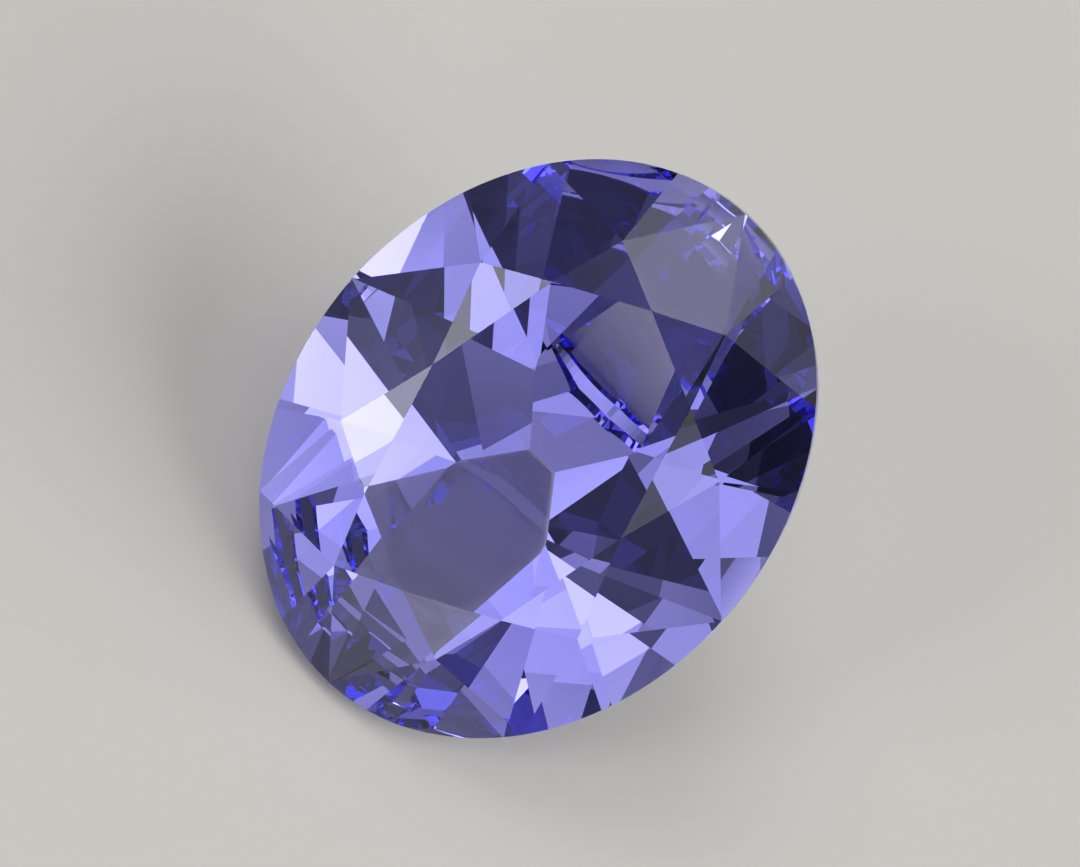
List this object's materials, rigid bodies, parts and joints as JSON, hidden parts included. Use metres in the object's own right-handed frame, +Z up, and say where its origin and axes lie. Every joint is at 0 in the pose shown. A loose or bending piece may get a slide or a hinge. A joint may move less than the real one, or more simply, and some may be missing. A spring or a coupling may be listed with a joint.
{
  "type": "faceted oval tanzanite gemstone",
  "caption": "Loose oval gemstone in a brilliant cut, lying on one pavilion facet with its table leaning to the front.",
  "frame": {"origin": "centre of the stone's box at the surface that it lies on", "axes": "+Z up from the surface, -Y towards the side that the table leans to"},
  "size_m": [0.008, 0.0084, 0.0059],
  "materials": {
    "tanzanite": "polished clear crystal"
  },
  "bodies": {
    "root": {"oval_tanzanite": "tanzanite"}
  },
  "joints": []
}
